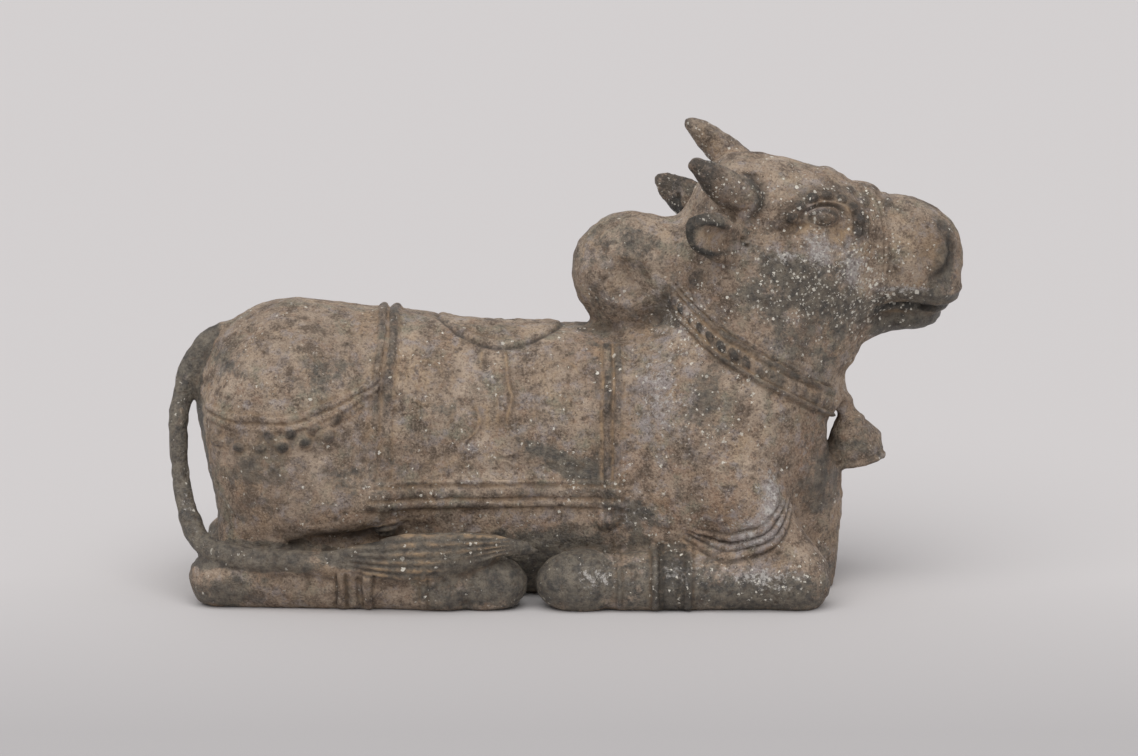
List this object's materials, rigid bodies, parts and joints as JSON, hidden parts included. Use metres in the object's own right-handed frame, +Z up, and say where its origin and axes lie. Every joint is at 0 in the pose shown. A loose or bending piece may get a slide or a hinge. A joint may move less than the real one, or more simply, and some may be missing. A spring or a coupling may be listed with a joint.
{
  "type": "nandi bull figure",
  "caption": "Small cast-bronze recumbent humped bull with a saddle cloth, beaded collar and hanging bell.",
  "frame": {"origin": "middle of the figure's box, on the plane that its folded legs and belly rest on", "axes": "+X towards the muzzle along the spine, +Y towards the bull's left side, +Z up"},
  "size_m": [0.2218, 0.0808, 0.131],
  "materials": {
    "bronze": "aged cast bronze, dark brown-black on the high places, ochre earth in the hollows, white specks"
  },
  "bodies": {
    "root": {"nandi_bull": "bronze"}
  },
  "joints": []
}
